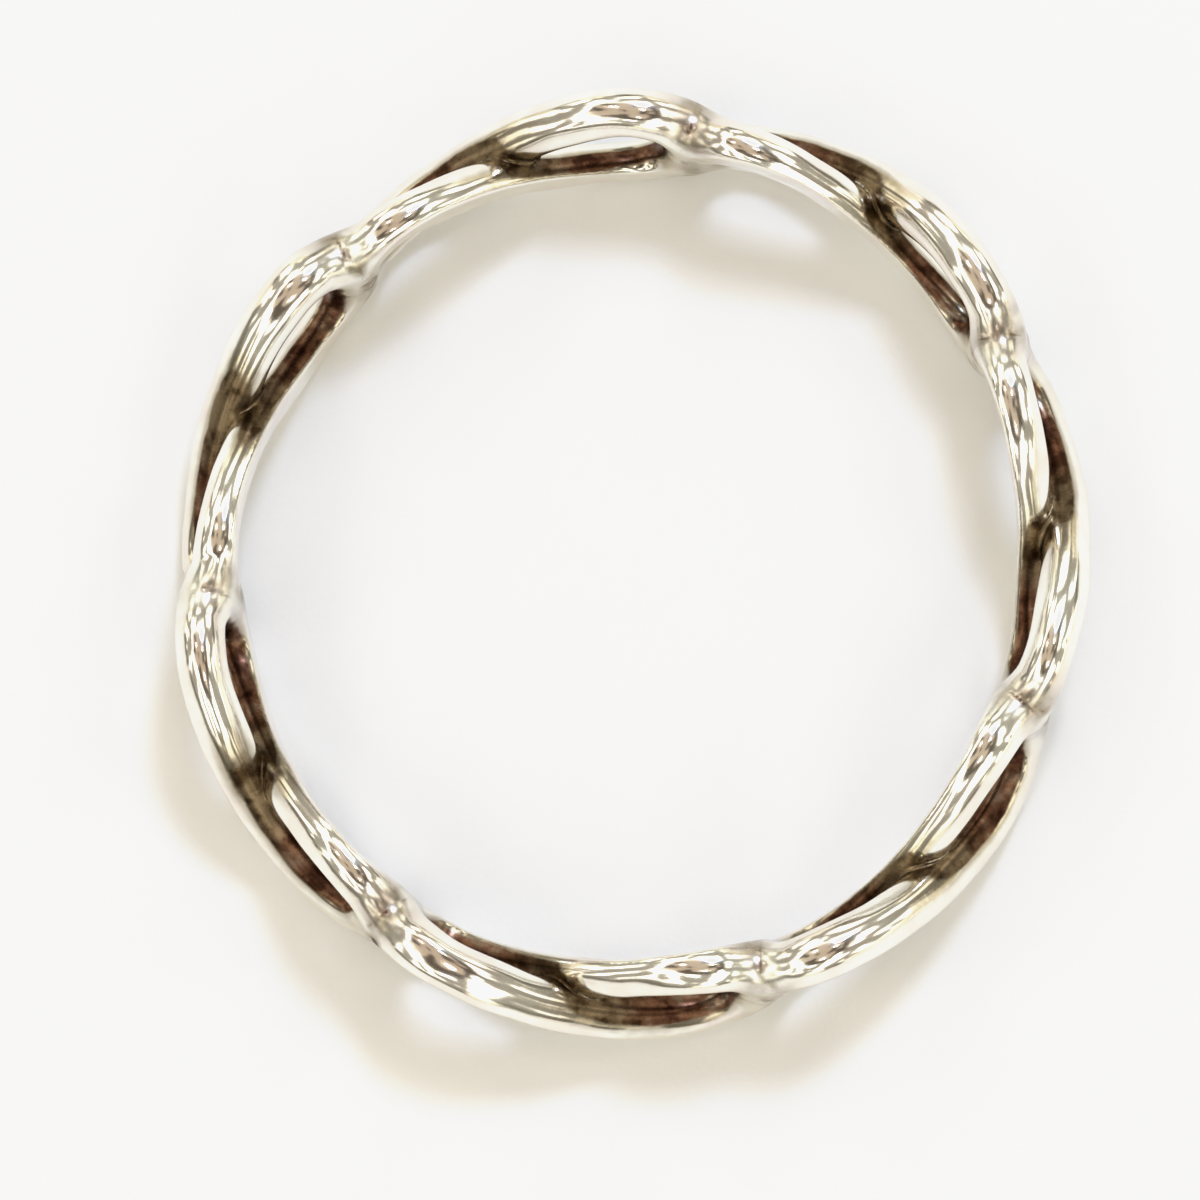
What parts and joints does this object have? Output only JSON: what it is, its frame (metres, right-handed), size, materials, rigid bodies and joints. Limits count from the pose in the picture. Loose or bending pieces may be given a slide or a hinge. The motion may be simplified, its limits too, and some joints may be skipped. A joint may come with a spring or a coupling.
{
  "type": "infinity band ring",
  "caption": "Finger ring made of figure-eight wire links joined end to end into a band, polished silver, lying on its side.",
  "frame": {"origin": "on the finger's axis, in the plane that the ring lies on", "axes": "+Z along the finger's axis, up from the surface the ring lies on; +Y toward the top of the picture, 8 degrees anticlockwise from a seam between two links; +X toward its right"},
  "size_m": [0.0202, 0.0208, 0.0039],
  "materials": {
    "silver": "polished"
  },
  "bodies": {
    "root": {"infinity_band": "silver"}
  },
  "joints": []
}
